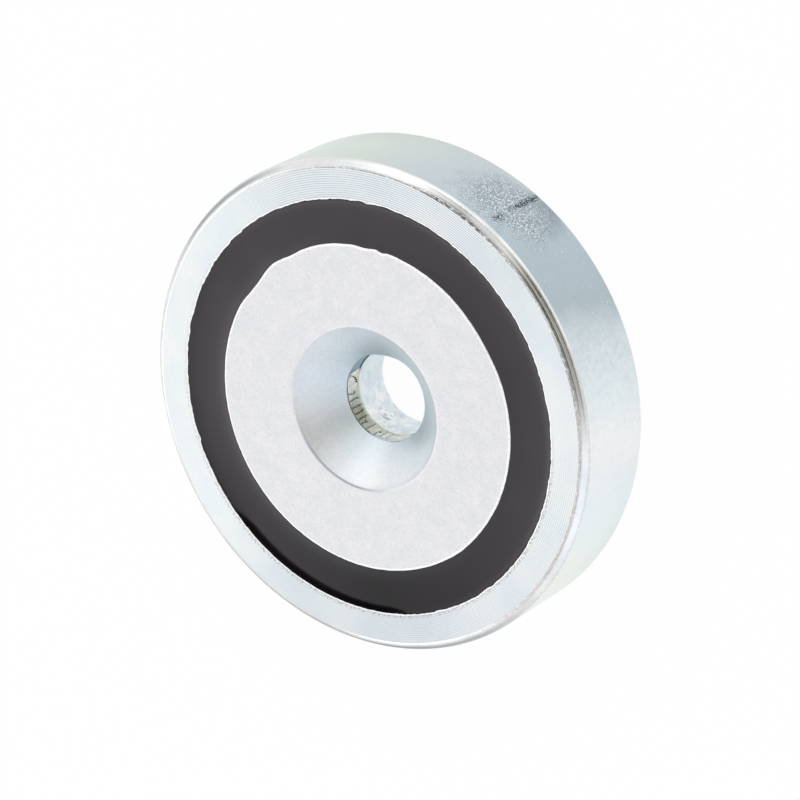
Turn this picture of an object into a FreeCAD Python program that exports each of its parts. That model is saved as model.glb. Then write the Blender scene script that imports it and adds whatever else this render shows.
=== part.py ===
import FreeCAD, Part
import math
import os

import Sketcher

# Countersunk pot magnet, lying on its back: a turned steel cup, a countersunk ring magnet glued to the
# cup's floor with its face flush with the rim, and potting resin in the moat between magnet and rim.
# Millimetres. +Z is the axis, from the back face (z = 0) to the holding face.

# Driving sizes: alias, value, what it sets.
SIZES = (
    ("pot_diameter", 36.0, "outside of the cup"),
    ("pot_height", 8.0, "back face to holding face"),
    ("recess_diameter", 30.3, "inside wall of the rim"),
    ("front_chamfer", 0.55, "rim's outer edge, at 45 degrees"),
    ("back_chamfer", 0.7, "back face's outer edge, at 45 degrees"),
    ("recess_corner", 0.4, "corner left by the tool where the recess wall meets the floor, at 45 degrees"),
    ("recess_edge_break", 0.08, "broken edge at the mouth of the recess"),
    ("bore_diameter", 6.5, "clearance hole for an M6 screw, through the cup's floor"),
    ("bore_exit_chamfer", 0.7, "back mouth of the bore, at 45 degrees"),
    ("magnet_diameter", 24.0, "outside of the ring magnet"),
    ("magnet_thickness", 4.0, "thickness of the ring magnet"),
    ("magnet_edge_radius", 0.3, "tumbled edge round the face of the magnet"),
    ("magnet_back_chamfer", 0.3, "pressed edge round the back of the magnet, at 45 degrees"),
    ("countersink_diameter", 12.0, "mouth of the countersink before its edge is rounded"),
    ("countersink_angle", 90.0, "full angle of the countersink, in degrees"),
    ("countersink_edge_radius", 0.25, "tumbled edge at the mouth of the countersink"),
    ("sleeve_thickness", 0.12, "adhesive squeezed up between the magnet's hole and the line of the bore"),
    ("film_thickness", 0.15, "adhesive under the magnet"),
    ("resin_wall_gap", 0.04, "bare recess wall between its broken edge and the resin"),
    ("resin_magnet_gap", 0.02, "bare magnet wall between its rounded edge and the resin"),
    ("resin_sag", 0.06, "dip of the cured resin below its lower edge"),
)

# Radii and heights that several pieces share, as expressions of the sheet.
POT_RADIUS = "sizes.pot_diameter / 2"
RECESS_RADIUS = "sizes.recess_diameter / 2"
BORE_RADIUS = "sizes.bore_diameter / 2"
MAGNET_RADIUS = "sizes.magnet_diameter / 2"
HOLE_RADIUS = "sizes.bore_diameter / 2 + sizes.sleeve_thickness"
FILM_RADIUS = "sizes.magnet_diameter / 2 - sizes.magnet_back_chamfer"
MAGNET_BACK = "sizes.pot_height - sizes.magnet_thickness"
FLOOR_HEIGHT = "sizes.pot_height - sizes.magnet_thickness - sizes.film_thickness"
CONE_SLOPE = "tan(sizes.countersink_angle * 1deg / 2)"
HOLE_TOP = f"sizes.pot_height - (sizes.countersink_diameter / 2 - ({HOLE_RADIUS})) / {CONE_SLOPE}"
SLEEVE_TOP = f"sizes.pot_height - (sizes.countersink_diameter / 2 - {BORE_RADIUS}) / {CONE_SLOPE}"
RESIN_WALL_TOP = "sizes.pot_height - sizes.recess_edge_break - sizes.resin_wall_gap"
RESIN_MAGNET_TOP = "sizes.pot_height - sizes.magnet_edge_radius - sizes.resin_magnet_gap"
RESIN_LOWEST = f"{RESIN_MAGNET_TOP} - sizes.resin_sag"
RESIN_MIDDLE = f"({RECESS_RADIUS} + {MAGNET_RADIUS}) / 2"

TOUCH = 1e-4


def make_sheet(doc):
    """Write the driving sizes into a spreadsheet, one named cell each."""
    sheet = doc.addObject("Spreadsheet::Sheet", "sizes")
    for row, (alias, value, note) in enumerate(SIZES, start=1):
        sheet.set(f"A{row}", alias)
        sheet.set(f"B{row}", str(value))
        sheet.setAlias(f"B{row}", alias)
        sheet.set(f"C{row}", note)
    doc.recompute()
    return sheet


def origin_plane(body, role):
    """Return the body's own origin plane that has this role."""
    return next(item for item in body.Origin.OriginFeatures if item.Role == role)


def new_sketch(body, name, role):
    """Add a sketch on one of the body's origin planes."""
    sketch = body.newObject("Sketcher::SketchObject", name)
    sketch.AttachmentSupport = [(origin_plane(body, role), "")]
    sketch.MapMode = "FlatFace"
    return sketch


def bind_distance(sketch, kind, geometry, end, expression):
    """Measure one point from the sketch's origin and tie the distance to the sheet."""
    index = sketch.addConstraint(Sketcher.Constraint(kind, -1, 1, geometry, end, number(expression)))
    sketch.setExpression(f"Constraints[{index}]", expression)


def section(body, name, corners, bowed_edge=None, bow_point=None):
    """Draw a closed half section on the XZ plane.

    Each corner is a pair of expressions, radius and height, with None for a height of zero. The edge
    that leaves corner number bowed_edge is an arc through bow_point.
    """
    sketch = new_sketch(body, name, "XZ_Plane")
    value = [(number(r), number(z) if z else 0.0) for r, z in corners]
    count = len(corners)
    for i in range(count):
        start = FreeCAD.Vector(*value[i], 0)
        finish = FreeCAD.Vector(*value[(i + 1) % count], 0)
        if i == bowed_edge:
            middle = FreeCAD.Vector(*(number(e) for e in bow_point), 0)
            sketch.addGeometry(Part.ArcOfCircle(start, middle, finish), False)
        else:
            sketch.addGeometry(Part.LineSegment(start, finish), False)
    ends = [edge_ends(sketch, i, value[i]) for i in range(count)]
    for i in range(count):
        following = (i + 1) % count
        sketch.addConstraint(Sketcher.Constraint("Coincident", i, ends[i][1], following, ends[following][0]))
    for i, (radius, height) in enumerate(corners):
        bind_distance(sketch, "DistanceX", i, ends[i][0], radius)
        if height:
            bind_distance(sketch, "DistanceY", i, ends[i][0], height)
        else:
            sketch.addConstraint(Sketcher.Constraint("PointOnObject", i, ends[i][0], -1))
    if bowed_edge is not None:
        point = sketch.addGeometry(Part.Point(middle), True)
        sketch.addConstraint(Sketcher.Constraint("PointOnObject", point, 1, bowed_edge))
        bind_distance(sketch, "DistanceX", point, 1, bow_point[0])
        bind_distance(sketch, "DistanceY", point, 1, bow_point[1])
    return sketch


def edge_ends(sketch, index, start):
    """Number the ends of one edge so that the first is the one at its start corner."""
    first = sketch.getPoint(index, 1)
    return (1, 2) if math.hypot(first.x - start[0], first.y - start[1]) < TOUCH else (2, 1)


def revolve(body, sketch, name):
    """Turn a half section once round the axis."""
    turned = body.newObject("PartDesign::Revolution", name)
    turned.Profile = sketch
    turned.ReferenceAxis = (sketch, ["V_Axis"])
    turned.Angle = 360.0
    body.Document.recompute()
    return turned


def number(expression):
    """Work an expression of the sheet out as a plain number."""
    return float(FreeCAD.ActiveDocument.sizes.evalExpression(expression.replace("sizes.", "")))


def circular_edges(shape, *places):
    """Name the edges that are full circles of the given radius at the given height."""
    names = []
    for radius, height in places:
        found = [
            f"Edge{i}"
            for i, edge in enumerate(shape.Edges, start=1)
            if edge.Curve.TypeId == "Part::GeomCircle"
            and abs(edge.Curve.Radius - radius) < TOUCH
            and abs(edge.Curve.Center.z - height) < TOUCH
        ]
        if len(found) != 1:
            raise ValueError(f"{len(found)} edges at radius {radius} and height {height}")
        names += found
    return names


def break_edges(body, kind, name, base, places, size):
    """Chamfer or round circular edges by a size of the sheet."""
    feature = body.newObject(f"PartDesign::{kind}", name)
    feature.Base = (base, circular_edges(base.Shape, *places))
    feature.setExpression("Size" if kind == "Chamfer" else "Radius", f"sizes.{size}")
    body.Document.recompute()
    return feature


def steel_pot(doc):
    """Turned mild steel cup with a deep floor, which closes the magnet's field onto the rim."""
    body = doc.addObject("PartDesign::Body", "SteelPot")
    body.Label = "steel_pot"
    outline = section(body, "PotSection", (
        (BORE_RADIUS, None),
        (POT_RADIUS, None),
        (POT_RADIUS, "sizes.pot_height"),
        (RECESS_RADIUS, "sizes.pot_height"),
        (RECESS_RADIUS, FLOOR_HEIGHT),
        (BORE_RADIUS, FLOOR_HEIGHT),
    ))
    cup = revolve(body, outline, "TurnedCup")
    outside, inside, bore = number(POT_RADIUS), number(RECESS_RADIUS), number(BORE_RADIUS)
    top, floor = number("sizes.pot_height"), number(FLOOR_HEIGHT)
    cup = break_edges(body, "Chamfer", "FrontChamfer", cup, [(outside, top)], "front_chamfer")
    cup = break_edges(body, "Chamfer", "BackChamfer", cup, [(outside, 0)], "back_chamfer")
    cup = break_edges(body, "Chamfer", "BoreExit", cup, [(bore, 0)], "bore_exit_chamfer")
    cup = break_edges(body, "Chamfer", "RecessMouth", cup, [(inside, top)], "recess_edge_break")
    break_edges(body, "Chamfer", "RecessCorner", cup, [(inside, floor)], "recess_corner")
    return body


def ring_magnet(doc):
    """Sintered ring magnet with its countersink formed in the magnet itself and its edges tumbled."""
    body = doc.addObject("PartDesign::Body", "RingMagnet")
    body.Label = "ring_magnet"
    body.setExpression("Placement.Base.z", MAGNET_BACK)

    outline = new_sketch(body, "MagnetOutline", "XY_Plane")
    outline.addGeometry(Part.Circle(FreeCAD.Vector(), FreeCAD.Vector(0, 0, 1), number(MAGNET_RADIUS)), False)
    outline.addConstraint(Sketcher.Constraint("Coincident", 0, 3, -1, 1))
    width = outline.addConstraint(Sketcher.Constraint("Diameter", 0, number("sizes.magnet_diameter")))
    outline.setExpression(f"Constraints[{width}]", "sizes.magnet_diameter")
    disc = body.newObject("PartDesign::Pad", "MagnetDisc")
    disc.Profile = outline
    disc.setExpression("Length", "sizes.magnet_thickness")
    doc.recompute()

    centre = new_sketch(body, "HoleCentre", "XY_Plane")
    centre.setExpression("AttachmentOffset.Base.z", "sizes.magnet_thickness")
    centre.addGeometry(Part.Circle(FreeCAD.Vector(), FreeCAD.Vector(0, 0, 1), number(HOLE_RADIUS)), False)
    centre.addConstraint(Sketcher.Constraint("Coincident", 0, 3, -1, 1))
    doc.recompute()
    hole = body.newObject("PartDesign::Hole", "CountersunkHole")
    hole.Profile = centre
    hole.DepthType = "ThroughAll"
    hole.ThreadType = "None"
    hole.HoleCutType = "Countersink"
    hole.HoleCutCustomValues = True
    hole.setExpression("Diameter", f"({HOLE_RADIUS}) * 2")
    hole.setExpression("HoleCutDiameter", "sizes.countersink_diameter")
    hole.setExpression("HoleCutCountersinkAngle", "sizes.countersink_angle")
    doc.recompute()

    rim, mouth = number(MAGNET_RADIUS), number("sizes.countersink_diameter / 2")
    top = number("sizes.magnet_thickness")
    ring = break_edges(body, "Chamfer", "BackEdge", hole, [(rim, 0)], "magnet_back_chamfer")
    ring = break_edges(body, "Fillet", "FaceEdge", ring, [(rim, top)], "magnet_edge_radius")
    break_edges(body, "Fillet", "MouthEdge", ring, [(mouth, top)], "countersink_edge_radius")
    return body


def adhesive(doc):
    """Clear adhesive: the film under the magnet, squeezed up as a sleeve inside the magnet's hole."""
    body = doc.addObject("PartDesign::Body", "Adhesive")
    body.Label = "adhesive"
    outline = section(body, "AdhesiveSection", (
        (BORE_RADIUS, FLOOR_HEIGHT),
        (FILM_RADIUS, FLOOR_HEIGHT),
        (FILM_RADIUS, MAGNET_BACK),
        (HOLE_RADIUS, MAGNET_BACK),
        (HOLE_RADIUS, HOLE_TOP),
        (BORE_RADIUS, SLEEVE_TOP),
    ))
    revolve(body, outline, "TurnedFilm")
    return body


def potting_ring(doc, magnet):
    """Potting resin that fills the moat, its top drawn into a shallow hollow as it cured."""
    body = doc.addObject("PartDesign::Body", "ResinFill")
    body.Label = "resin_fill"
    outline = section(body, "ResinSection", (
        (FILM_RADIUS, FLOOR_HEIGHT),
        (RECESS_RADIUS, FLOOR_HEIGHT),
        (RECESS_RADIUS, RESIN_WALL_TOP),
        (MAGNET_RADIUS, RESIN_MAGNET_TOP),
        (FILM_RADIUS, RESIN_MAGNET_TOP),
    ), bowed_edge=2, bow_point=(RESIN_MIDDLE, RESIN_LOWEST))
    fill = revolve(body, outline, "PouredRing")
    corner = [(number(RECESS_RADIUS), number(FLOOR_HEIGHT))]
    break_edges(body, "Chamfer", "SeatCorner", fill, corner, "recess_corner")

    ring = doc.addObject("Part::Cut", "PottingRing")
    ring.Label = "potting_ring"
    ring.Base = body
    ring.Tool = magnet
    doc.recompute()
    return ring


def check(doc, pieces):
    """Stop before anything is written if a feature failed or a piece isn't one valid solid."""
    for item in doc.Objects:
        if "Invalid" in item.State or "Error" in item.State:
            raise RuntimeError(f"{item.Label} failed: {item.State}")
    for piece in pieces:
        shape = piece.Shape
        if shape.isNull() or not shape.isValid() or len(shape.Solids) != 1:
            raise RuntimeError(f"{piece.Label} is not one valid solid")


def main():
    doc = FreeCAD.newDocument("pot_magnet")
    make_sheet(doc)
    magnet = ring_magnet(doc)
    pieces = [steel_pot(doc), magnet, adhesive(doc), potting_ring(doc, magnet)]
    doc.recompute()
    check(doc, pieces)
    os.makedirs("parts", exist_ok=True)
    for piece in pieces:
        piece.Shape.exportStep(f"parts/{piece.Label}.step")
        print(f"{piece.Label}: {piece.Shape.Volume:.2f} mm3")


main()
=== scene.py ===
"""Looks of the countersunk pot magnet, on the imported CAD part.

Metres, in the frame of the CAD: the magnet lies on its back on z = 0, +Z comes out of its holding face.
Sizes are in millimetres until a piece is finished. Angles are degrees round the axis, from +X towards +Y,
and a turn in a material is such an angle as a share of the full circle.
"""

import math
import random

import bmesh
import bpy
from mathutils import Matrix, Vector, noise


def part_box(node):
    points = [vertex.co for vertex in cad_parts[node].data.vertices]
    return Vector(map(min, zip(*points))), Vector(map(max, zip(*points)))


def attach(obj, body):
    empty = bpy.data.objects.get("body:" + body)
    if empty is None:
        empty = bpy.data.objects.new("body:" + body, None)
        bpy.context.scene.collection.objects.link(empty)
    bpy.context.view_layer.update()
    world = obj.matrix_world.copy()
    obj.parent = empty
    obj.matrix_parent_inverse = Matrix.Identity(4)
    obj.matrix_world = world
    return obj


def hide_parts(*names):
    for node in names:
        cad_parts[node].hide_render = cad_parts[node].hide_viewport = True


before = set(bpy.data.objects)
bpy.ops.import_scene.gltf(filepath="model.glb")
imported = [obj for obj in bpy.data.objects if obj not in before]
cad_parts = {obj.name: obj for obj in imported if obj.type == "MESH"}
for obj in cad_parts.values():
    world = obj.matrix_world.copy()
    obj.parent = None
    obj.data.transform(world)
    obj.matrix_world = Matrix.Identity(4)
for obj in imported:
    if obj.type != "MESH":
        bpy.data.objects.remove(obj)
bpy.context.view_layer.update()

MM = 0.001
STEPS = 720
# Edges that bend by more degrees than this stay sharp.
SHARP = 32
# Corners nearer than this are merged, and a corner nearer than this to a circle belongs to it.
MERGED = 1e-5
ON_CIRCLE = 2e-3
# Room for rounding where faces and corners are told apart by their place.
NEAR = 0.01

# Sizes that the frame gives.
POT_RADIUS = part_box("steel_pot")[1].x / MM
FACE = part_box("steel_pot")[1].z / MM
RESIN_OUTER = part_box("potting_ring")[1].x / MM
MAGNET_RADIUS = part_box("ring_magnet")[1].x / MM
MAGNET_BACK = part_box("ring_magnet")[0].z / MM

# Sizes of the turned cup.
FRONT_CHAMFER = 0.55
BACK_CHAMFER = 0.7
RECESS_EDGE = 0.08
RECESS_DROP = 0.025
RIM_INNER = RESIN_OUTER + RECESS_EDGE
FLOOR_TOP = 3.85
BORE_RADIUS = 3.25
MOST_WEAR = 0.06
RIM_ROUNDING = 0.15
WALL_ROUNDING = 0.2
BACK_ROUNDING = 0.1
GROOVE_PITCH = 0.158
GROOVE_DEPTH = 0.019
SCORE_DEPTH = 0.02

# Sizes of the magnet, the resin and the adhesive.
MAGNET_EDGE = 0.2
MOUTH_RADIUS = 6.0
MOUTH_EDGE = 0.12
SLEEVE = 0.12
HOLE_RADIUS = BORE_RADIUS + SLEEVE
LIP_RADIUS = BORE_RADIUS + 0.02
RESIN_DIP = 0.33
# How far the resin curls at a wall: (height, the width over which that falls to a third).
MAGNET_CURL = (0.27, 0.6)
WALL_CURL = (0.26, 0.28)
SKIN_TROUGH = (0.15, 0.35)

# How many cuts divide a band of faces into rings.
SLOPE_CUTS = 13
DISC_CUTS = 9
RESIN_CUTS = 44
BEAD_CUTS = 13

# Where the outlines of disc, hole and recess leave their circles: (angle, reach, millimetres outwards).
# The recess has two nicks.
DISC_OUTLINE = (
    (5, 9, 0.07), (17, 12, -0.19), (272, 20, -0.09), (318, 2.5, -0.11), (325, 5, -0.09), (340, 14, 0.06),
    (356, 6, -0.06), (186, 14, 0.04), (125, 40, -0.02),
)
HOLE_OUTLINE = ((326, 38, -0.13),)
RECESS_OUTLINE = ((105, 75, -0.045), (5, 40, 0.03), (75, 1.5, -0.10), (324, 1.5, -0.10))
# The two sides where the facing tool's rings show most: (angle, how clearly).
RING_SIDES = ((318, 1.0), (192, 0.55))
# The lines scored in the chamfer: (place from rim at 0 to wall at 1, half width, share of the depth).
SCORES = ((0.42, 0.07, 1.0), (0.62, 0.05, 0.6))
# Where they are deepest.
SCORED_SIDE = 262
# Where the resin stands up the rim's wall as a thin black skin, and over how many degrees it ends.
BLACK_SKIN = (104, 153)
SKIN_FADE = 10
# Coarse plating on the wall, and one patch of painted shade: centre, stretch, reach, how far its edge
# wanders, and its crystals' tones.
SCUFFS_AND_SHADE = (
    # The first is painted shade: a soft darker zone beside the darker scuff.
    ((6.0, -16.97, 2.2), (1.0, 1.0, 0.9), 2.6, 1.5, [(0.36, "96A4AE"), (0.6, "A8B5BE")]),
    ((7.6, -16.3, 4.2), (0.8, 0.8, 1.0), 3.6, 3.5, [(0.36, "8F9DA8"), (0.56, "B9C6CF"), (0.67, "FFFFFF")]),
    ((7.06, -16.56, 2.3), (3.4, 1.6, 0.42), 1.1, 0.7, [(0.42, "343E47"), (0.56, "74808A"), (0.68, "DCE3E8")]),
    ((6.98, -16.6, 5.9), (2.4, 1.6, 1.0), 0.9, 0.9, [(0.42, "56606A"), (0.56, "929EA8"), (0.68, "F0F4F8")]),
)
# Where the adhesive came up round the magnet's hole, over how many degrees it ends, and where it cracked.
BEAD = (36, 168)
BEAD_FADE = 3
CRACKED = (66.0, 150)
# Where the bead's lip is clean, and where its upper part leaves the metal bare.
CLEAN_LIP = (124, 150)
BARE_TOPS = ((37, 41), (126, 148))
# Heights in the bead as shares of its own: its plain foot, and where the bare tops and the lip begin.
PLAIN_FOOT = 0.16
BARE_FROM = 0.72
LIP_FROM = 0.92
# Bubbles that stand out of the bead: (angle, height, radius).
BUBBLES = ((45.5, 4.30, 0.07), (48.5, 4.16, 0.07), (52, 4.08, 0.06), (42, 4.60, 0.05))


def linear(hex_colour):
    """The linear colour of an sRGB hex value."""
    channels = [int(hex_colour[i:i + 2], 16) / 255 for i in (0, 2, 4)]
    return [c / 12.92 if c <= 0.04045 else ((c + 0.055) / 1.055) ** 2.4 for c in channels] + [1.0]


def add(owner, kind, links=None, **settings):
    """Adds one node: settings are its own values, links are {input: value or socket}."""
    node = owner.node_tree.nodes.new(kind)
    for name, value in settings.items():
        setattr(node, name, value)
    for name, value in (links or {}).items():
        if isinstance(value, bpy.types.NodeSocket):
            owner.node_tree.links.new(value, node.inputs[name])
        else:
            node.inputs[name].default_value = value
    return node


def ramp(owner, factor, stops):
    """A colour ramp with (position, hex colour) stops."""
    node = add(owner, "ShaderNodeValToRGB", {"Fac": factor})
    while len(node.color_ramp.elements) < len(stops):
        node.color_ramp.elements.new(1.0)
    for element, (position, colour) in zip(node.color_ramp.elements, stops):
        element.position = position
        element.color = linear(colour)
    return node.outputs["Color"]


def grains(owner, spot, scale, detail, roughness=0.5):
    """Noise from 0 to 1 with that many bumps to the metre."""
    return add(owner, "ShaderNodeTexNoise", {
        "Vector": spot, "Scale": scale, "Detail": detail, "Roughness": roughness}).outputs["Fac"]


def grade(owner, value, start, end, low=0.0, high=1.0, curve="LINEAR"):
    """low where the value is at start, high where it is at end, and clamped beyond them."""
    return add(owner, "ShaderNodeMapRange", {
        "Value": value, "From Min": start, "From Max": end, "To Min": low, "To Max": high},
        interpolation_type=curve).outputs["Result"]


def calc(owner, operation, *values):
    """One step of arithmetic on numbers or sockets."""
    return add(owner, "ShaderNodeMath", dict(enumerate(values)), operation=operation).outputs[0]


def product(owner, *shares):
    """Several shares multiplied."""
    total = shares[0]
    for share in shares[1:]:
        total = calc(owner, "MULTIPLY", total, share)
    return total


def calc_vector(owner, operation, *vectors):
    """One step on vectors that gives a vector."""
    step = add(owner, "ShaderNodeVectorMath", dict(enumerate(vectors)), operation=operation)
    return step.outputs["Vector"]


def calc_measure(owner, operation, *vectors):
    """One step on vectors that gives a number."""
    step = add(owner, "ShaderNodeVectorMath", dict(enumerate(vectors)), operation=operation)
    return step.outputs["Value"]


def blend(owner, share, one, other, kind="MIX"):
    """Two colours mixed by a share."""
    return add(owner, "ShaderNodeMix", {0: share, 6: one, 7: other}, data_type="RGBA",
               blend_type=kind).outputs[2]


def times(owner, one, other):
    """Two colours multiplied."""
    return blend(owner, 1.0, one, other, "MULTIPLY")


def angle_of(point):
    """Degrees round the axis."""
    return math.degrees(math.atan2(point.y, point.x)) % 360


def away(angle, centre):
    """How many degrees lie between two directions, the short way."""
    return abs((angle - centre + 180) % 360 - 180)


def swell(angle, centre, reach):
    """1 at the centre, falling smoothly to 0 at reach degrees from it."""
    return 0.5 + 0.5 * math.cos(math.pi * min(1.0, away(angle, centre) / reach))


def within(angle, span, edge):
    """1 between the two angles, falling to 0 over edge degrees outside them."""
    middle = (span[0] + span[1]) / 2
    outside = away(angle, middle) - (span[1] - span[0]) / 2
    return 1.0 - min(1.0, max(0.0, outside / edge))


def off_circle(angle, outline):
    """How far an outline stands out of its circle at that angle."""
    return sum(distance * swell(angle, centre, reach) for centre, reach, distance in outline)


def ripple(point, size, seed):
    """Smooth noise from -1 to 1 with bumps of that size in millimetres."""
    return noise.noise(Vector(point) / size + Vector((seed, seed, seed)))


def move_out(vert, distance):
    """Moves a corner away from the axis."""
    radius = vert.co.xy.length
    vert.co.x *= (radius + distance) / radius
    vert.co.y *= (radius + distance) / radius


def spun(profile):
    """A closed profile of (radius, height) corners, spun round the axis."""
    mesh = bmesh.new()
    corners = [mesh.verts.new((r, 0, z)) for r, z in profile]
    edges = [mesh.edges.new((a, b)) for a, b in zip(corners, corners[1:] + corners[:1])]
    bmesh.ops.spin(mesh, geom=corners + edges, cent=(0, 0, 0), axis=(0, 0, 1),
                   angle=2 * math.pi, steps=STEPS, use_merge=True)
    bmesh.ops.remove_doubles(mesh, verts=mesh.verts, dist=MERGED)
    bmesh.ops.recalc_face_normals(mesh, faces=mesh.faces)
    return mesh


def on_circle(vert, radius, height):
    """True for a corner of the circle at that radius and height."""
    return abs(vert.co.xy.length - radius) < ON_CIRCLE and abs(vert.co.z - height) < ON_CIRCLE


def round_off(mesh, radius, height, size, segments):
    """Rounds the circular edge at that radius and height."""
    edges = [e for e in mesh.edges if all(on_circle(v, radius, height) for v in e.verts)]
    bmesh.ops.bevel(mesh, geom=edges, offset=size, segments=segments,
                    profile=0.5, affect="EDGES", material=-1, clamp_overlap=False)


def cut_between(mesh, one, other, cuts):
    """Cuts the band of faces between two circles, each (radius, height), into narrow rings."""
    def joins(start, end):
        return on_circle(start, *one) and on_circle(end, *other)
    across = [e for e in mesh.edges if joins(*e.verts) or joins(*reversed(e.verts))]
    bmesh.ops.subdivide_edges(mesh, edges=across, cuts=cuts, use_grid_fill=True)


def finished(mesh, name, materials, node):
    """Scales the mesh to metres and makes it the piece that stands for a CAD node."""
    bmesh.ops.scale(mesh, vec=(MM, MM, MM), verts=mesh.verts)
    for face in mesh.faces:
        face.smooth = True
    for edge in mesh.edges:
        edge.smooth = edge.calc_face_angle(0) < math.radians(SHARP)
    data = bpy.data.meshes.new(name)
    mesh.to_mesh(data)
    mesh.free()
    for material in materials:
        data.materials.append(material)
    piece = bpy.data.objects.new(name, data)
    bpy.context.scene.collection.objects.link(piece)
    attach(piece, "root")
    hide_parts(node)
    return piece


def new_material(name, **constants):
    """A material with its shader, set to these constants, and the coordinates of the object."""
    material = bpy.data.materials.new(name)
    material.use_nodes = True
    material.node_tree.nodes.clear()
    output = add(material, "ShaderNodeOutputMaterial")
    shader = add(material, "ShaderNodeBsdfPrincipled", constants)
    material.node_tree.links.new(shader.outputs["BSDF"], output.inputs["Surface"])
    return material, shader, add(material, "ShaderNodeTexCoord").outputs["Object"]


def radius_of(material, spot):
    """Distance from the axis, in metres."""
    return calc_measure(material, "LENGTH", calc_vector(material, "MULTIPLY", spot, (1, 1, 0)))


def height_of(material, spot):
    """Height over the back face, in metres."""
    return add(material, "ShaderNodeSeparateXYZ", {"Vector": spot}).outputs["Z"]


def turn_of(material, spot):
    """The angle round the axis as a share of a full turn, from 0 to 1."""
    parts = add(material, "ShaderNodeSeparateXYZ", {"Vector": spot})
    angle = calc(material, "ARCTAN2", parts.outputs["Y"], parts.outputs["X"])
    return calc(material, "FLOORED_MODULO", calc(material, "MULTIPLY", angle, 1 / (2 * math.pi)), 1.0)


def lathe_direction(material, spot):
    """The direction that a lathe's marks run in, round the axis."""
    return calc_vector(material, "NORMALIZE", calc_vector(material, "CROSS_PRODUCT", (0, 0, 1), spot))


def feed(material, shader, sockets):
    """Links the shader's sockets to the outputs that feed them."""
    for name, source in sockets.items():
        material.node_tree.links.new(source, shader.inputs[name])
    return material


def dress(material, shader, tint, grain, roughness, **others):
    """Feeds the shader: its roughness runs between two values over the grain."""
    rough = grade(material, grain, 0.0, 1.0, *roughness)
    return feed(material, shader, {"Base Color": tint, "Roughness": rough, **others})


def relief(material, height, strength, depth):
    """A bump of that depth in millimetres."""
    return add(material, "ShaderNodeBump", {
        "Height": height, "Strength": strength, "Distance": depth * MM}).outputs["Normal"]


def tool_mark_shade(material, spot):
    """How strongly the painted shade in the facing tool's rings shows: most on two sides."""
    # They show least from 57 degrees beside such a side, and most within 32 degrees of it.
    far = 0.55
    close = 0.85
    least = 0.12
    shares = []
    for centre, clearness in RING_SIDES:
        side = (math.cos(math.radians(centre)), math.sin(math.radians(centre)), 0)
        facing = calc_measure(material, "DOT_PRODUCT", calc_vector(material, "NORMALIZE", spot), side)
        shares.append(grade(material, facing, far, close, least, clearness, "SMOOTHSTEP"))
    return calc(material, "MAXIMUM", *shares)


def turned_zinc_rim():
    """Mild steel faced on a lathe, then zinc plated and blue passivated.

    That gives the eye a bright, faintly blue metal whose gloss is drawn out across the tool's rings.
    """
    material, shader, spot = new_material("turned_zinc_rim", Metallic=1.0, Anisotropic=0.4)
    radius = radius_of(material, spot)
    turn = turn_of(material, spot)
    # Patches of the passivation, 3 mm across.
    patches = grains(material, spot, 330.0, 3.0)
    tint = ramp(material, patches, [(0.35, "E6EDF1"), (0.65, "EFF2F2")])
    # Some sides of the rim are painted a little darker: painted shade.
    rim_shade_sides = ramp(material, turn, [
        (0.26, "FFFFFF"), (0.34, "EDEFF1"), (0.43, "EAECEF"), (0.50, "F8F9FB"), (0.57, "FFFFFF"),
        (0.68, "FFFFFF"), (0.75, "F7F8FA"), (0.82, "FDFDFE"), (0.90, "F9FAFB"), (1.0, "FFFFFF")])
    tint = times(material, tint, rim_shade_sides)
    # The bottom of each ring that the tool left is painted darker: painted shade in the grooves.
    phase = calc(material, "MULTIPLY_ADD", radius, 2 * math.pi / (GROOVE_PITCH * MM),
                 -2 * math.pi * RIM_INNER / GROOVE_PITCH)
    bottom = grade(material, calc(material, "COSINE", phase), -0.2, -1.0, 0.0, 0.75)
    groove_shade = product(material, bottom, tool_mark_shade(material, spot))
    tint = blend(material, groove_shade, tint, linear("A0A8B0"))
    # Crumbly burrs by the mouth of the recess, 0.15 mm, most on the side of the resin's black skin.
    by_mouth = grade(material, radius, (RESIN_OUTER + 0.36) * MM, (RESIN_OUTER + 0.20) * MM)
    burr_sides = ramp(material, turn, [
        (0.0, "909090"), (0.20, "B0B0B0"), (0.30, "FFFFFF"), (0.62, "FFFFFF"), (0.68, "505050"),
        (0.88, "707070"), (1.0, "909090")])
    burr = grade(material, grains(material, spot, 6500.0, 3.0), 0.49, 0.58, 0.0, 0.85)
    tint = blend(material, product(material, by_mouth, burr_sides, burr), tint, linear("ADA4A1"))
    # Grain of the plating, 0.12 mm.
    grain = grains(material, spot, 8000.0, 2.0)
    return dress(material, shader, tint, grain, (0.22, 0.36), Normal=relief(material, grain, 0.25, 0.01),
                 Tangent=lathe_direction(material, spot))


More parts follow.
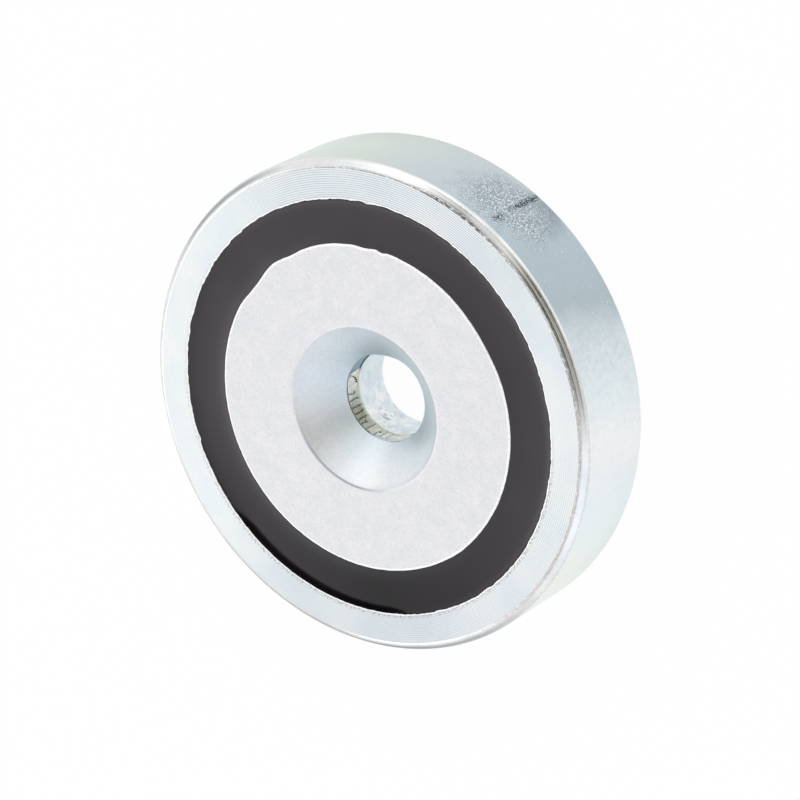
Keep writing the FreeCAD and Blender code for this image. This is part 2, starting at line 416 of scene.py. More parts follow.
def turned_zinc_chamfer():
    """The same plating on the chamfer, which a second tool cut: slightly warmer, with coarser lines."""
    material, shader, spot = new_material("turned_zinc_chamfer", Metallic=1.0, Anisotropic=0.4)
    # Patches of the passivation, 1.7 mm across.
    patches = grains(material, spot, 600.0, 4.0)
    tint = ramp(material, patches, [(0.35, "F0F2F2"), (0.65, "FFFFFF")])
    # The place on the chamfer, from the rim at 0 to the wall at 1, uneven by 0.07 mm in bumps of 0.3 mm.
    turn = turn_of(material, spot)
    uneven = 0.07
    radius = calc(material, "MULTIPLY_ADD", grains(material, spot, 3500.0, 3.0), uneven * MM,
                  radius_of(material, spot))
    start = POT_RADIUS - FRONT_CHAMFER - RIM_ROUNDING
    across = grade(material, radius, (start + uneven / 2) * MM, (POT_RADIUS + uneven / 2) * MM)
    # Some sides are painted duller, mostly in the middle: painted shade, standing in for the darker
    # surroundings that the chamfer reflects there.
    chamfer_shade_sides = ramp(material, turn, [
        (0.00, "BABDBF"), (0.045, "ACB0B2"), (0.085, "FAFAFA"), (0.18, "F6F6F4"), (0.26, "F4F1EF"),
        (0.36, "E2E0DE"), (0.415, "868786"), (0.46, "AEB0B2"), (0.50, "C4C7CB"), (0.56, "FFFFFF"),
        (0.67, "FFFFFF"), (0.70, "DEDEDD"), (0.76, "D0D0CD"), (0.79, "F6F6F4"), (0.81, "F6F7F7"),
        (0.833, "EAECEE"), (0.86, "FFFFFF"), (0.963, "FAFAFA"), (1.0, "BABDBF")])
    shade_band = ramp(material, across, [(0.15, "303030"), (0.42, "FFFFFF"), (0.65, "FFFFFF"), (0.80, "CCCCCC")])
    # The shaded band is narrower on one side.
    narrow = ramp(material, across, [(0.34, "000000"), (0.46, "FFFFFF"), (0.72, "FFFFFF"), (0.92, "A0A0A0")])
    narrow_sides = ramp(material, turn, [
        (0.0, "FFFFFF"), (0.055, "FFFFFF"), (0.08, "000000"), (0.93, "000000"), (0.97, "FFFFFF")])
    shade_band = blend(material, narrow_sides, shade_band, narrow)
    # On another side it lies further out.
    outward = ramp(material, across, [(0.30, "404040"), (0.58, "FFFFFF")])
    outward_sides = ramp(material, turn, [
        (0.36, "000000"), (0.40, "FFFFFF"), (0.50, "FFFFFF"), (0.55, "000000")])
    shade_band = blend(material, outward_sides, shade_band, outward)
    tint = blend(material, shade_band, tint, times(material, tint, chamfer_shade_sides))
    # Two sides are painted a little darker from edge to edge: painted shade.
    chamfer_side_shade = ramp(material, turn, [
        (0.00, "FFFFFF"), (0.03, "FFFFFF"), (0.08, "F1F2F1"), (0.18, "F3F3F2"), (0.26, "DAD8D8"),
        (0.37, "D2D0D0"), (0.41, "FFFFFF"), (0.82, "FFFFFF"), (0.86, "F3F3F3"), (0.955, "F3F3F3"),
        (1.0, "FFFFFF")])
    tint = times(material, tint, chamfer_side_shade)
    # The corner towards the wall is painted grey on some sides: painted shade.
    corner_shade = ramp(material, across, [(0.62, "000000"), (0.78, "FFFFFF")])
    corner_shade_sides = ramp(material, turn, [
        (0.36, "000000"), (0.40, "FFFFFF"), (0.46, "D0D0D0"), (0.50, "707070"), (0.54, "000000"),
        (0.67, "000000"), (0.705, "949494"), (0.735, "202020"), (0.80, "000000")])
    tint = blend(material, product(material, corner_shade, corner_shade_sides), tint, linear("A8AAAB"))
    # Fine lines that the tool scored, 0.05 to 0.1 mm wide.
    scored = ramp(material, across, [
        (0.28, "FFFFFF"), (0.38, "D0CFCC"), (0.43, "5E5D59"), (0.47, "D8D7D3"), (0.57, "CCCBC7"),
        (0.67, "DAD9D4"), (0.70, "7C7B77"), (0.74, "E4E5E4"), (0.80, "FFFFFF")])
    scored_sides = ramp(material, turn, [
        (0.00, "303030"), (0.10, "303030"), (0.60, "303030"), (0.66, "404040"), (0.70, "FFFFFF"),
        (0.77, "FFFFFF"), (0.79, "A0A0A0"), (0.81, "B0B0B0"), (0.828, "FFFFFF"), (0.845, "F0F0F0"),
        (0.865, "505050"), (0.93, "181818")])
    tint = blend(material, scored_sides, tint, times(material, tint, scored))
    # Crumbs 0.35 mm long and 0.1 mm wide, drawn out along the edge.
    strip = add(material, "ShaderNodeCombineXYZ", {
        "X": calc(material, "MULTIPLY", turn, 320.0), "Y": calc(material, "MULTIPLY", across, 6.0)})
    crumbs = grains(material, strip.outputs[0], 1.0, 4.0, 0.65)
    broken = grade(material, crumbs, 0.38, 0.54, 0.1, 0.9)
    # A torn edge towards the rim, dark and broken, on the side away from the resin's black skin.
    torn = ramp(material, across, [(0.00, "000000"), (0.07, "FFFFFF"), (0.30, "FFFFFF"), (0.40, "000000")])
    torn_sides = ramp(material, turn, [
        (0.64, "000000"), (0.70, "E8E8E8"), (0.75, "A8A8A8"), (0.79, "C8C8C8"), (0.815, "FFFFFF"),
        (0.85, "FFFFFF"), (0.87, "808080"), (0.94, "404040"), (0.97, "000000")])
    tint = blend(material, product(material, torn, torn_sides, broken), tint, linear("4A4947"))
    # Its end runs on as one thin line.
    thread = ramp(material, across, [(0.02, "000000"), (0.07, "FFFFFF"), (0.13, "FFFFFF"), (0.18, "000000")])
    thread_sides = ramp(material, turn, [
        (0.0, "808080"), (0.04, "000000"), (0.83, "000000"), (0.86, "E0E0E0"), (0.93, "C8C8C8"),
        (1.0, "808080")])
    tint = blend(material, product(material, thread, thread_sides, broken), tint, linear("5E5A57"))
    # On the other side both edges of the chamfer are rough and greyish pink instead.
    rough_edges = ramp(material, across, [
        (0.00, "C0C0C0"), (0.06, "FFFFFF"), (0.28, "FFFFFF"), (0.40, "000000"), (0.74, "000000"),
        (0.82, "B0B0B0"), (0.94, "B0B0B0"), (1.0, "000000")])
    rough_sides = ramp(material, turn, [
        (0.0, "909090"), (0.06, "000000"), (0.46, "000000"), (0.52, "FFFFFF"), (0.66, "FFFFFF"),
        (0.71, "000000"), (0.88, "000000"), (0.93, "909090"), (1.0, "909090")])
    crumbly = grade(material, crumbs, 0.36, 0.62, 0.35, 1.0)
    worn = product(material, rough_edges, rough_sides, crumbly)
    tint = blend(material, worn, tint, linear("C4BCBC"))
    # Chatter of the tool, 0.1 mm.
    grain = grains(material, spot, 10000.0, 2.0)
    return dress(material, shader, tint, grain, (0.16, 0.30), Normal=relief(material, grain, 0.4, 0.02),
                 Tangent=lathe_direction(material, spot))


def scuffs_and_shade(material, spot, tint, grain):
    """Patches of coarse plating on the wall with one darker scuff, where the part was held; glints are
    painted on the crystals, and a soft darker zone beside the scuff is painted shade.

    Returns the tint and the height with the patch in them.
    """
    # Crystals of the coarse plating, 0.11 mm.
    crystals = grains(material, spot, 9000.0, 1.0)
    # What the patch's edge wanders along, 1.1 mm.
    wobble = add(material, "ShaderNodeTexNoise", {"Vector": spot, "Scale": 900.0, "Detail": 4.0})
    # A patch is full within this share of its reach, and its crystals stand up more than the grain.
    full = 0.45
    crystal_height = 1.8
    height = grain
    for centre, stretch, reach, wander, stops in SCUFFS_AND_SHADE:
        drift = calc_vector(material, "MULTIPLY_ADD", wobble.outputs["Color"], [wander * MM] * 3, spot)
        middle = [(c + wander / 2) * MM * k for c, k in zip(centre, stretch)]
        apart = calc_measure(material, "DISTANCE", calc_vector(material, "MULTIPLY", drift, stretch), middle)
        mask = grade(material, apart, reach * MM, reach * full * MM)
        tint = blend(material, mask, tint, ramp(material, crystals, stops))
        facet = calc(material, "MULTIPLY", crystals, crystal_height)
        height = add(material, "ShaderNodeMix", {0: mask, 2: height, 3: facet},
                     data_type="FLOAT").outputs[0]
    return tint, height


def turned_zinc_wall():
    """The same plating on the cup's turned side: satin, with a blue, green and straw cast."""
    material, shader, spot = new_material("turned_zinc_wall", Metallic=1.0, Anisotropic=0.5)
    # The passivation's tints change slowly round the wall, and some sides are painted darker and bluer as
    # well: painted shade, standing in for the darker surroundings that the wall reflects there. Their edges
    # wander by a millimetre or so, in waves of 4 mm, and lean along the wall.
    wander = grains(material, spot, 260.0, 3.0)
    lean = calc(material, "MULTIPLY", height_of(material, spot), 2.0)
    shifted = calc(material, "MULTIPLY_ADD", wander, 0.035, turn_of(material, spot))
    around = calc(material, "FLOORED_MODULO", calc(material, "SUBTRACT", shifted, lean), 1.0)
    tint = ramp(material, around, [
        (0.00, "ECF2F1"), (0.13, "EAF1F2"), (0.20, "CDD8DE"), (0.30, "C2CED6"), (0.38, "D0DBDF"),
        (0.45, "E4EAE4"), (0.50, "FCFFFD"), (0.56, "FAFDF6"), (0.62, "F4FCFF"), (0.665, "FFFDFE"),
        (0.69, "F0F7F9"), (0.727, "DFE8EB"), (0.752, "BBC8CE"), (0.80, "C2D0D8"), (0.86, "D3DCE1"),
        (0.93, "E0E9DF"), (1.0, "ECF2F1")])
    # Cloudy grain of the plating, 0.5 mm down to 0.1 mm.
    grain = grains(material, spot, 2200.0, 5.0, 0.7)
    shade = ramp(material, grain, [(0.34, "DFE4E8"), (0.58, "FFFFFF")])
    cloudy = ramp(material, around, [
        (0.00, "404040"), (0.60, "404040"), (0.69, "A0A0A0"), (0.72, "C0C0C0"), (0.76, "707070"),
        (0.84, "707070"), (1.0, "404040")])
    tint = times(material, tint, blend(material, cloudy, linear("F8FAFB"), shade))
    # The back face has none of these tints, only the grain.
    outer = grade(material, radius_of(material, spot), (POT_RADIUS - 1.1) * MM,
                  (POT_RADIUS - 0.6) * MM)
    plain = ramp(material, grain, [(0.34, "E4EAEB"), (0.60, "EEF3F3")])
    tint = blend(material, outer, plain, tint)
    # Painted glints: single crystals, 0.1 mm, a millimetre or so apart, painted near white.
    painted_glints = grade(material, grains(material, spot, 6000.0, 1.0), 0.68, 0.78, 0.0, 0.6)
    tint = blend(material, painted_glints, tint, linear("FFFFF6"))
    tint, height = scuffs_and_shade(material, spot, tint, grain)
    return dress(material, shader, tint, grain, (0.26, 0.42), Normal=relief(material, height, 0.5, 0.03),
                 Tangent=lathe_direction(material, spot))


def plated_bore():
    """The drilled bore under its zinc: bluish, with brighter clouds where the plating is thick."""
    material, shader, spot = new_material("plated_bore", Metallic=1.0)
    # Clouds of 0.5 mm with a finer mottling inside.
    clouds = grains(material, spot, 1300.0, 6.0, 0.7)
    tint = ramp(material, clouds, [(0.36, "D6E2E9"), (0.5, "E8F1F6"), (0.62, "FCFEFF")])
    # A few straw-coloured specks low on one side, where passivation liquid dried.
    dried_spot = (-1.37 * MM, 2.95 * MM, 2.3 * MM)
    apart = calc_measure(material, "DISTANCE", spot, dried_spot)
    near = grade(material, apart, 1.4 * MM, 0.6 * MM)
    # The specks are 0.3 mm across.
    drops = grains(material, spot, 3200.0, 3.0)
    dried = grade(material, drops, 0.59, 0.64, 0.0, 0.7)
    tint = blend(material, product(material, near, dried), tint, linear("F2E2BE"))
    # Near the specks the clouds are painted white as well: a painted glint.
    tint = blend(material, product(material, near, clouds), tint, linear("FFFFFF"))
    # Coarser crystals show as darker flecks there, and the rest is smoother.
    wide = grade(material, apart, 4.2 * MM, 1.6 * MM)
    tint = blend(material, wide, blend(material, 0.6, tint, linear("DFEAF0")), tint)
    flecks = grade(material, drops, 0.46, 0.38, 0.0, 0.7)
    tint = blend(material, product(material, near, flecks), tint, linear("A3B5C0"))
    return dress(material, shader, tint, clouds, (0.50, 0.18), Normal=relief(material, clouds, 0.4, 0.06))


def tumbled_zinc_magnet():
    """Sintered magnet, tumbled and barrel plated in zinc: pale, matte and faintly mottled."""
    material, shader, spot = new_material("tumbled_zinc_magnet", Metallic=1.0)
    radius = radius_of(material, spot)
    turn = turn_of(material, spot)
    # Mottling of the plating, from 1 mm down to 0.1 mm.
    patches = grains(material, spot, 900.0, 6.0, 0.75)
    tint = ramp(material, patches, [(0.34, "DFE2E5"), (0.66, "EBE9EB")])
    # Fine grey specks, 0.1 mm.
    grey = grade(material, grains(material, spot, 7000.0, 1.0), 0.66, 0.74, 0.0, 0.5)
    tint = blend(material, grey, tint, linear("BAB4AE"))
    # The cone is bluer, because the passivation liquid stood in it, and some of its sides are painted darker:
    # painted shade.
    inwards = grade(material, radius, (MOUTH_RADIUS + 0.1) * MM, (MOUTH_RADIUS - 0.4) * MM)
    cone = ramp(material, turn, [
        (0.0, "E3EBF0"), (0.17, "E3E9EC"), (0.26, "F2F4F5"), (0.33, "DEE5E8"), (0.41, "F3F5F6"),
        (0.50, "F8FCFE"), (0.60, "F6FDFF"), (0.74, "ECF5F8"), (0.84, "F0F8FC"), (0.93, "E6EEF4"),
        (1.0, "E3EBF0")])
    tint = blend(material, inwards, tint, blend(material, 0.8, tint, cone))
    # The mouth of the cone is painted darker along one side: painted shade on its rounding.
    over_mouth = grade(material, radius, (MOUTH_RADIUS - 0.2) * MM, (MOUTH_RADIUS + 0.6) * MM)
    mouth_shade_line = ramp(material, over_mouth, [
        (0.12, "000000"), (0.20, "FFFFFF"), (0.30, "FFFFFF"), (0.40, "000000")])
    mouth_shade_sides = ramp(material, turn, [
        (0.15, "000000"), (0.21, "909090"), (0.27, "FFFFFF"), (0.39, "FFFFFF"), (0.46, "000000")])
    tint = blend(material, product(material, mouth_shade_line, mouth_shade_sides), tint, linear("B4B8BE"))
    # Close to the hole the cone is bluer still.
    by_hole = grade(material, radius, 5.0 * MM, 3.8 * MM)
    tint = blend(material, by_hole, tint, times(material, tint, linear("F7FDFF")))
    # The hole's own wall is painted darker and bluer where the adhesive leaves it bare: painted shade in the
    # hole.
    in_hole = grade(material, height_of(material, spot), 5.29 * MM, 5.19 * MM)
    bare_wall_shade = ramp(material, turn, [
        (0.0, "FFFFFF"), (0.12, "FFFFFF"), (0.16, "303030"), (0.90, "303030"), (1.0, "FFFFFF")])
    tint = blend(material, product(material, in_hole, bare_wall_shade), tint, linear("9DB5C0"))
    # Grain left by the tumbling, 0.25 mm.
    grain = grains(material, spot, 4000.0, 4.0, 0.6)
    tint = times(material, tint, ramp(material, grain, [(0.36, "F8F8F9"), (0.6, "FFFFFF")]))
    return dress(material, shader, tint, grain, (0.34, 0.50), Normal=relief(material, grain, 0.35, 0.03))


def highlit_zinc_edge():
    """Sharp edges painted a brighter zinc than their faces: a painted highlight, the thin white line round
    the magnet and the rim's mouth.
    """
    material, shader, spot = new_material("highlit_zinc_edge", Metallic=1.0)
    # Nicks of 0.2 mm.
    nicks = grains(material, spot, 5000.0, 2.0)
    tint = ramp(material, nicks, [(0.34, "E6E4E0"), (0.46, "FFFFFF")])
    return dress(material, shader, tint, nicks, (0.30, 0.55))


def cured_black_epoxy():
    """Black filled epoxy, poured into the moat and cured: near black, with a smooth satin skin."""
    material, shader, spot = new_material("cured_black_epoxy", IOR=1.55)
    # Clouds of 3 mm.
    cloud = grains(material, spot, 300.0, 2.0)
    tint = ramp(material, cloud, [(0.3, "221B23"), (0.7, "281F29")])
    # One side is painted a little darker, and its reflection is turned down there: painted shade.
    turn = turn_of(material, spot)
    shaded_side_tint = ramp(material, turn, [
        (0.17, "FFFFFF"), (0.33, "C4C6C2"), (0.42, "A4A6A0"), (0.50, "C0C2BE"), (0.60, "FFFFFF")])
    shaded_side_gloss = ramp(material, turn, [
        (0.0, "BCBCBC"), (0.17, "BCBCBC"), (0.33, "A2A2A2"), (0.42, "8E8E8E"), (0.50, "A2A2A2"),
        (0.60, "BCBCBC")])
    return dress(material, shader, times(material, tint, shaded_side_tint), cloud, (0.26, 0.34),
                 **{"Specular IOR Level": shaded_side_gloss})


def squeezed_clear_adhesive():
    """Clear adhesive, squeezed up round the hole and cured.

    That gives the eye the zinc's gloss through it, and a cream tone where it is thick.
    """
    material, shader, spot = new_material("squeezed_clear_adhesive", IOR=1.48, Metallic=0.6)
    # Clouds of 0.4 mm.
    cloud = grains(material, spot, 2500.0, 3.0)
    body = ramp(material, cloud, [(0.35, "D4D8D2"), (0.65, "FFFFFA")])
    # On one side it is painted greyer: painted shade, where it turns away from the light.
    turn = turn_of(material, spot)
    shade = ramp(material, turn, [
        (0.14, "FFFFFF"), (0.19, "E4E8E6"), (0.23, "B0B2A8"), (0.27, "B4B6AA"), (0.32, "E0E2DA"),
        (0.38, "FFFFFF")])
    body = times(material, body, shade)
    # Its lip is thickest just over the bore.
    lip = grade(material, height_of(material, spot), 4.08 * MM, 3.98 * MM)
    thick = ramp(material, turn, [
        (0.09, "8CA3AE"), (0.115, "E4E0C6"), (0.455, "E4E0C6"), (0.48, "A9BAC2")])
    return dress(material, shader, blend(material, lip, body, thick), cloud, (0.12, 0.3))


def cracked_adhesive_shade():
    """The adhesive's open cracks and its upper edge, dark olive: painted shade in the cracks and a painted
    shadow line along the upper edge.
    """
    material, shader, spot = new_material("cracked_adhesive_shade", IOR=1.48, Roughness=0.35)
    # Clouds of 0.2 mm.
    cloud = grains(material, spot, 5000.0, 2.0)
    return feed(material, shader, {
        "Base Color": ramp(material, cloud, [(0.35, "5E5A45"), (0.65, "9C977A")])})


def turned_cup(materials):
    """The steel cup: faced rim, chamfer, turned wall, deep recess and the bore for the screw."""
    rim, chamfer, wall, bore, resin, mouth_highlight = range(len(materials))
    rim_outer = POT_RADIUS - FRONT_CHAMFER
    wall_top = FACE - FRONT_CHAMFER
    mesh = spun([
        (BORE_RADIUS + BACK_CHAMFER, 0),
        (POT_RADIUS - BACK_CHAMFER, 0),
        (POT_RADIUS, BACK_CHAMFER),
        (POT_RADIUS, wall_top),
        (rim_outer, FACE),
        (RIM_INNER, FACE),
        (RESIN_OUTER, FACE - RECESS_DROP),
        (RESIN_OUTER, FLOOR_TOP),
        (BORE_RADIUS, FLOOR_TOP),
        (BORE_RADIUS, BACK_CHAMFER),
    ])
    round_off(mesh, rim_outer, FACE, RIM_ROUNDING, 4)
    round_off(mesh, POT_RADIUS, wall_top, WALL_ROUNDING, 4)
    round_off(mesh, POT_RADIUS, BACK_CHAMFER, BACK_ROUNDING, 2)
    round_off(mesh, POT_RADIUS - BACK_CHAMFER, 0, BACK_ROUNDING, 2)
    flat_outer = rim_outer - RIM_ROUNDING
    slope_start = (rim_outer + RIM_ROUNDING * math.sqrt(0.5), FACE - RIM_ROUNDING * math.sqrt(0.5))
    slope_end = (POT_RADIUS - WALL_ROUNDING * math.sqrt(0.5), wall_top + WALL_ROUNDING * math.sqrt(0.5))
    # Each groove takes four rings of faces.
    grooves = round((flat_outer - RIM_INNER) / GROOVE_PITCH)
    cut_between(mesh, (RIM_INNER, FACE), (flat_outer, FACE), grooves * 4 - 1)
    cut_between(mesh, slope_start, slope_end, SLOPE_CUTS)
    for face in mesh.faces:
        middle = face.calc_center_median()
        radius = middle.xy.length
        if radius < RESIN_OUTER - NEAR and middle.z > NEAR:
            face.material_index = bore
        # The recess's mouth takes the brighter edge zinc: a painted highlight.
        elif middle.z > FACE - RECESS_DROP and radius < RIM_INNER - NEAR / 10:
            face.material_index = mouth_highlight
        elif middle.z < wall_top + NEAR and radius < RESIN_OUTER + NEAR:
            coated = within(angle_of(middle), BLACK_SKIN, SKIN_FADE) > 0.1 and middle.z > FLOOR_TOP
            face.material_index = resin if coated else wall
        elif middle.z < wall_top + NEAR:
            face.material_index = wall
        else:
            face.material_index = chamfer if radius > flat_outer else rim
    for vert in mesh.verts:
        radius = vert.co.xy.length
        turn = angle_of(vert.co)
        if vert.co.z > FACE - NEAR / 10 and RIM_INNER + NEAR < radius < flat_outer - NEAR:
            vert.co.z -= groove_depth(turn, radius)
        elif slope_start[0] - NEAR < radius < slope_end[0] + NEAR and vert.co.z > wall_top:
            score = score_depth(turn, (radius - slope_start[0]) / (slope_end[0] - slope_start[0]))
            vert.co.z -= score
            move_out(vert, -score)
        elif radius < RIM_INNER + NEAR and vert.co.z > FACE - 0.2:
            move_out(vert, min(recess_wear(turn, vert.co), MOST_WEAR))
    return finished(mesh, "turned_cup", materials, "steel_pot")


def groove_depth(turn, radius):
    """How deep the facing tool's rings are there."""
    clearness = max(share * swell(turn, side, 50) for side, share in RING_SIDES)
    wave = 0.5 - 0.5 * math.cos(2 * math.pi * (radius - RIM_INNER) / GROOVE_PITCH)
    return GROOVE_DEPTH * (0.2 + 0.8 * clearness) * wave


def score_depth(turn, across):
    """How deep the lines scored in the chamfer are there."""
    lines = sum(share * math.exp(-((across - place) / width) ** 2) for place, width, share in SCORES)
    return SCORE_DEPTH * lines * (0.4 + 0.6 * swell(turn, SCORED_SIDE, 35))


def recess_wear(turn, point):
    """How far the mouth of the recess is worn back: unevenly, and more smoothly by the black skin."""
    smooth = 1.0 - 0.6 * within(turn, BLACK_SKIN, 8)
    crumbled = 0.05 * ripple(point, 0.7, 3) + 0.05 * ripple(point, 0.3, 5)
    return off_circle(turn, RECESS_OUTLINE) + smooth * crumbled


def countersunk_disc(materials):
    """The ring magnet with its rounded edges and the cone for the screw's head."""
    lip_height = FACE - (MOUTH_RADIUS - LIP_RADIUS)
    flat_outer = MAGNET_RADIUS - MAGNET_EDGE - 0.02
    mesh = spun([
        (HOLE_RADIUS, MAGNET_BACK),
        (MAGNET_RADIUS - MAGNET_EDGE, MAGNET_BACK),
        (MAGNET_RADIUS, MAGNET_BACK + MAGNET_EDGE),
        (MAGNET_RADIUS, FACE),
        (flat_outer, FACE),
        (MOUTH_RADIUS, FACE),
        (LIP_RADIUS, lip_height),
        (HOLE_RADIUS, lip_height - 0.03),
    ])
    round_off(mesh, MAGNET_RADIUS, FACE, MAGNET_EDGE, 6)
    round_off(mesh, MOUTH_RADIUS, FACE, MOUTH_EDGE, 5)
    cut_between(mesh, (flat_outer, FACE), (MOUTH_RADIUS + MOUTH_EDGE, FACE), DISC_CUTS)
    # The magnet's rounded edge takes the brighter edge zinc: a painted highlight.
    highlight_edge = 1
    for face in mesh.faces:
        middle = face.calc_center_median()
        if middle.z > FACE - 0.1 and middle.xy.length > flat_outer:
            face.material_index = highlight_edge
    # The outline's swells grow from nothing to their full size over this band of the face.
    band_start = MAGNET_RADIUS - 1.2
    band_width = 0.9
    for vert in mesh.verts:
        radius = vert.co.xy.length
        turn = angle_of(vert.co)
        if abs(radius - HOLE_RADIUS) < NEAR:
            # The hole's own wall shows where no adhesive stands in front of it.
            move_out(vert, (LIP_RADIUS - HOLE_RADIUS) * (1 - within(turn, BEAD, BEAD_FADE)))
        if radius < HOLE_RADIUS + NEAR:
            move_out(vert, off_circle(turn, HOLE_OUTLINE))
        if radius > band_start:
            share = min(1.0, (radius - band_start) / band_width)
            worn = off_circle(turn, DISC_OUTLINE) - 0.02 + 0.02 * ripple(vert.co, 0.6, 9)
            move_out(vert, share * min(worn, MOST_WEAR))
        if vert.co.z > FACE - 0.4 and radius > MOUTH_RADIUS + 0.5:
            # The face is worn unevenly, by up to 0.012 mm.
            vert.co.z -= 0.006 + 0.006 * ripple(vert.co, 2.5, 2)
    return finished(mesh, "countersunk_disc", materials, "ring_magnet")


def curl(size, distance):
    """What is left of a curl of (height, width) at that distance from its wall."""
    height, width = size
    return height * math.exp(-distance / width)


def potted_moat(materials):
    """The resin between magnet and rim: dished as it shrank, and curled up at both walls."""
    # It reaches a little way into both neighbours, so that no gap opens where their outlines wander.
    inner = MAGNET_RADIUS - 0.3
    outer = RESIN_OUTER + 0.03
    bottom = FLOOR_TOP + 0.15
    top = FACE - 0.1
    mesh = spun([(inner, bottom), (outer, bottom), (outer, top), (inner, top)])
    cut_between(mesh, (inner, top), (outer, top), RESIN_CUTS)
    for vert in mesh.verts:
        if vert.co.z < FACE - 0.5:
            continue
        turn = angle_of(vert.co)
        # The rings lie closer together towards both walls.
        share = (vert.co.xy.length - inner) / (outer - inner)
        spread = 0.5 - 0.5 * math.cos(math.pi * share)
        move_out(vert, inner + (outer - inner) * spread - vert.co.xy.length)
        radius = vert.co.xy.length
        skin = within(turn, BLACK_SKIN, SKIN_FADE)
        magnet_edge = MAGNET_RADIUS + off_circle(turn, DISC_OUTLINE)
        from_wall = max(0.0, RESIN_OUTER - NEAR - radius)
        from_magnet = max(0.0, radius - magnet_edge + 0.02)
        by_wall = (1 - skin) * curl(WALL_CURL, from_wall) - skin * curl(SKIN_TROUGH, from_wall)
        vert.co.z = FACE - RESIN_DIP + by_wall + curl(MAGNET_CURL, from_magnet)
        vert.co.z += 0.006 * ripple(vert.co, 2.0, 4)
    return finished(mesh, "potted_moat", materials, "potting_ring")


def drawn_cracks():
    """The bead's cracks: (angle, half width in degrees, slant in degrees, where it starts in height)."""
    draw = random.Random(7)
    cracks = []
    turn = CRACKED[0]
    while turn < CRACKED[1]:
        cracks.append((turn, draw.uniform(0.35, 0.55), draw.uniform(-2.5, 2.5), draw.uniform(-0.1, 0.45)))
        turn += draw.uniform(6.5, 12.0)
    return cracks


def on_crack(point, height, crack):
    """True on a crack, or on the short branch that a crack from higher up has."""
    centre, width, slant, start = crack
    turn = angle_of(point)
    bent = centre + slant * height + 1.1 * ripple(point, 0.3, centre)
    side = (turn - centre) * (1 if slant > 0 else -1)
    branch = start > 0.2 and 0 < side < 3.5 and abs(height - start - 0.1) < 0.045
    return branch or height > start and away(turn, bent) < width


def squeezed_bead(materials):
    """The adhesive that came up round the magnet's small hole, with its cracks, bubbles and rounded lip."""
    # The materials' places. The clear adhesive itself is 0.
    crack = 1
    metal = 2
    foot = FLOOR_TOP - 0.02
    top = FACE - (MOUTH_RADIUS - BORE_RADIUS)
    mesh = spun([
        (BORE_RADIUS, foot),
        (HOLE_RADIUS, foot),
        (HOLE_RADIUS, top - 0.05),
        (BORE_RADIUS + 0.01, top),
    ])
    cut_between(mesh, (BORE_RADIUS, foot), (BORE_RADIUS + 0.01, top), BEAD_CUTS)
    cracks = drawn_cracks()
    for face in mesh.faces:
        middle = face.calc_center_median()
        turn = angle_of(middle)
        height = (middle.z - FLOOR_TOP) / (top - FLOOR_TOP)
        if height < PLAIN_FOOT or not BEAD[0] < turn < BEAD[1]:
            continue
        if height > BARE_FROM and any(start < turn < end for start, end in BARE_TOPS):
            face.material_index = metal
        # Its upper edge, apart from the clean stretch, takes the dark crack material: a painted shadow line.
        elif height > LIP_FROM:
            face.material_index = metal if CLEAN_LIP[0] < turn < CLEAN_LIP[1] else crack
        elif any(on_crack(middle, height, one) for one in cracks):
            face.material_index = crack
    sunk = {vert for face in mesh.faces if face.material_index == crack for vert in face.verts}
    for vert in mesh.verts:
        turn = angle_of(vert.co)
        inside = within(turn, BEAD, BEAD_FADE)
        height = min(1.0, max(0.0, (vert.co.z - FLOOR_TOP) / (top - FLOOR_TOP)))
        vert.co.z -= height * (1 - inside) * (top - FLOOR_TOP - 0.04)
        if vert.co.xy.length < HOLE_RADIUS - 0.02:
            # It bulges at its foot, is sunk where it cracked, and thins out over the wide bare top.
            bulge = 0.05 * math.exp(-(height / 0.10) ** 2) + 0.015 * ripple(vert.co, 0.4, 6)
            if vert in sunk and height < 0.9:
                bulge -= 0.05
            bulge -= 0.07 * within(turn, BARE_TOPS[1], 6) * max(0.0, height - 0.6) / 0.4
            move_out(vert, -bulge)
    for turn, height, size in BUBBLES:
        spot = Vector((math.cos(math.radians(turn)), math.sin(math.radians(turn)), 0)) * (BORE_RADIUS - 0.03)
        ball = bmesh.ops.create_icosphere(mesh, subdivisions=2, radius=size,
                                          matrix=Matrix.Translation(spot + Vector((0, 0, height))))
        for face in {f for v in ball["verts"] for f in v.link_faces}:
            face.material_index = crack
    return finished(mesh, "squeezed_bead", materials, "adhesive")


def photo_camera():
    """The photo's camera: 51.5 degrees above the holding face, rolled, with a long lens."""
    elevation = math.radians(51.536)
    roll = math.radians(-118.73)
    distance = 275.0
    pixels_per_mm = 14.3757
    picture = 800
    face_pixel = (363.95, 409.44)
    data = bpy.data.cameras.new("photo_camera")
    data.sensor_width = 36.0
    data.lens = data.sensor_width * pixels_per_mm * distance / picture
    data.clip_start = 0.01
    data.clip_end = 20.0
    turn = Matrix.Rotation(math.pi / 2 - elevation, 4, "X") @ Matrix.Rotation(roll, 4, "Z")
    right = (face_pixel[0] - picture / 2) / pixels_per_mm
    up = (picture / 2 - face_pixel[1]) / pixels_per_mm
    spot = Vector((0, 0, FACE)) - turn.to_3x3() @ Vector((right, up, -distance))
    camera = bpy.data.objects.new("photo_camera", data)
    camera.matrix_world = Matrix.Translation(spot * MM) @ turn
    bpy.context.scene.collection.objects.link(camera)
    bpy.context.scene.camera = camera


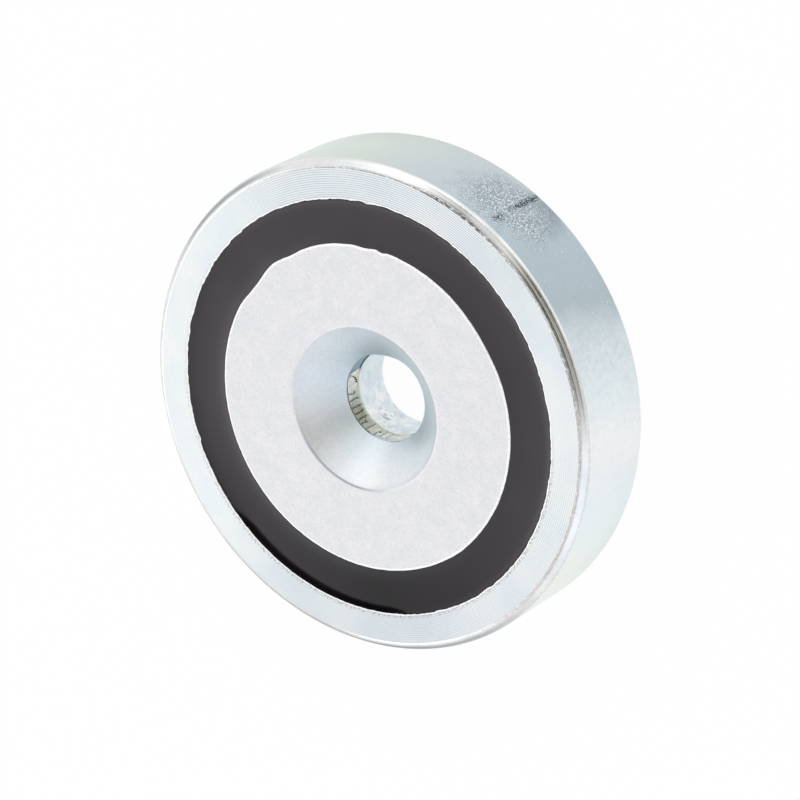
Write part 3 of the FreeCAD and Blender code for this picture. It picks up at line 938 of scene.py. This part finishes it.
def white_table():
    """A plain white table. Seen straight or in the metal it is white, and it keeps a soft shadow."""
    mesh = bmesh.new()
    bmesh.ops.create_grid(mesh, x_segments=1, y_segments=1, size=1.5)
    bmesh.ops.translate(mesh, vec=(0, 0, -0.02 * MM), verts=mesh.verts)
    data = bpy.data.meshes.new("white_table")
    mesh.to_mesh(data)
    mesh.free()
    table = bpy.data.objects.new("white_table", data)
    bpy.context.scene.collection.objects.link(table)
    material = bpy.data.materials.new("white_table_paint")
    material.use_nodes = True
    material.node_tree.nodes.clear()
    rays = add(material, "ShaderNodeLightPath").outputs
    glow = add(material, "ShaderNodeEmission", {"Color": (1, 1, 1, 1), "Strength": 1.0})
    paint = add(material, "ShaderNodeBsdfDiffuse", {"Color": linear("F9F9F9")})
    straight = calc(material, "MAXIMUM", rays["Is Camera Ray"], rays["Is Transmission Ray"])
    # How much of it glows, seen straight and seen in the metal. The rest is paint, which takes the shadow.
    glow_straight = 0.97
    glow_in_metal = 0.85
    share = calc(material, "MAXIMUM", calc(material, "MULTIPLY", straight, glow_straight),
                 calc(material, "MULTIPLY", rays["Is Glossy Ray"], glow_in_metal))
    mix = add(material, "ShaderNodeMixShader", {0: share, 1: paint.outputs[0], 2: glow.outputs[0]})
    add(material, "ShaderNodeOutputMaterial", {"Surface": mix.outputs[0]})
    data.materials.append(material)


# The studio as the part sees it: direction, half width and soft edge in degrees, colour and brightness.
STUDIO_LEVEL = ("FFFFFF", 0.9)
STUDIO_PARTS = (
    ((0.0, 0.62, 0.78), 30, 30, "FFFFFF", 0.97),
    ((0.0, 0.90, 0.42), 12, 14, "FFFFFF", 1.25),
    ((0.52, 0.77, 0.38), 16, 12, "FFFFFF", 1.35),
    ((-0.52, 0.77, 0.38), 16, 12, "FFFFFF", 1.35),
    ((0.60, 0.80, 0.0), 12, 14, "F4F6F8", 0.8),
    ((-0.50, 0.87, 0.0), 12, 14, "F4F6F8", 0.8),
    ((0.0, -1.0, 0.12), 14, 16, "FFFFFF", 1.25),
    ((-0.05, -0.76, 0.65), 14, 12, "F0EDE4", 0.64),
    ((0.0, -0.60, 0.80), 8, 9, "E8ECF0", 0.16),
    ((0.85, -0.30, 0.42), 16, 14, "FFFFFF", 1.35),
    ((-0.87, -0.20, 0.42), 14, 16, "F2F8FF", 1.05),
)


def brightness(colour, strength):
    """A colour of the studio, times its strength."""
    return [c * strength for c in linear(colour)[:3]] + [1.0]


def studio_world():
    """Pale walls all round, large soft lights, and a dimmer part where the camera stands."""
    world = bpy.data.worlds.new("pale_studio")
    world.use_nodes = True
    world.node_tree.nodes.clear()
    direction = add(world, "ShaderNodeTexCoord").outputs["Generated"]
    level = brightness(*STUDIO_LEVEL)
    for towards, width, edge, colour, strength in STUDIO_PARTS:
        facing = calc_measure(world, "DOT_PRODUCT", direction, Vector(towards).normalized())
        inside = grade(world, facing, math.cos(math.radians(width + edge)), math.cos(math.radians(width)),
                       curve="SMOOTHSTEP")
        level = blend(world, inside, level, brightness(colour, strength))
    seen = add(world, "ShaderNodeLightPath").outputs["Is Camera Ray"]
    white_behind = blend(world, seen, level, (1, 1, 1, 1))
    glow = add(world, "ShaderNodeBackground", {"Color": white_behind, "Strength": 1.0})
    add(world, "ShaderNodeOutputWorld", {"Surface": glow.outputs[0]})
    bpy.context.scene.world = world


photo_camera()
white_table()
studio_world()
resin_material = cured_black_epoxy()
magnet_material = tumbled_zinc_magnet()
edge_highlight_material = highlit_zinc_edge()
turned_cup([turned_zinc_rim(), turned_zinc_chamfer(), turned_zinc_wall(), plated_bore(), resin_material,
            edge_highlight_material])
countersunk_disc([magnet_material, edge_highlight_material])
potted_moat([resin_material])
squeezed_bead([squeezed_clear_adhesive(), cracked_adhesive_shade(), magnet_material])

bpy.context.scene.view_settings.view_transform = "Standard"
